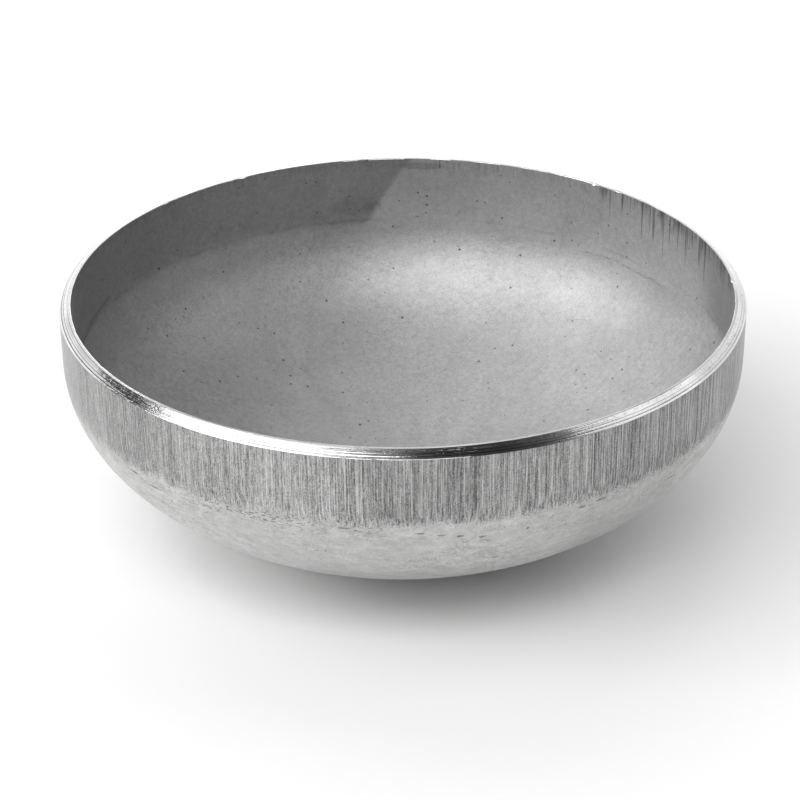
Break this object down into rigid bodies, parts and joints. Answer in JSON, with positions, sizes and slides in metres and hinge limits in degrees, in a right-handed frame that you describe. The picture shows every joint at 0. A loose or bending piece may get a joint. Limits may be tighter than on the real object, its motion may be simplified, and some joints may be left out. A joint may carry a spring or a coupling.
{
  "type": "butt-weld pipe cap",
  "caption": "Dished stainless steel pipe cap with a short straight flange and an outside weld bevel, closing the end of a pipe.",
  "frame": {"origin": "middle of the crown's outside, where the cap rests, at the bottom of the bounding box", "axes": "+Z along the pipe axis, out of the open weld end; X and Y are any two directions across it, because the cap is a body of revolution"},
  "size_m": [0.219, 0.219, 0.08],
  "materials": {
    "stainless": "satin pickled stainless steel, with an axially ground flange and a turned weld bevel"
  },
  "bodies": {
    "root": {"cap_shell": "stainless"}
  },
  "joints": []
}
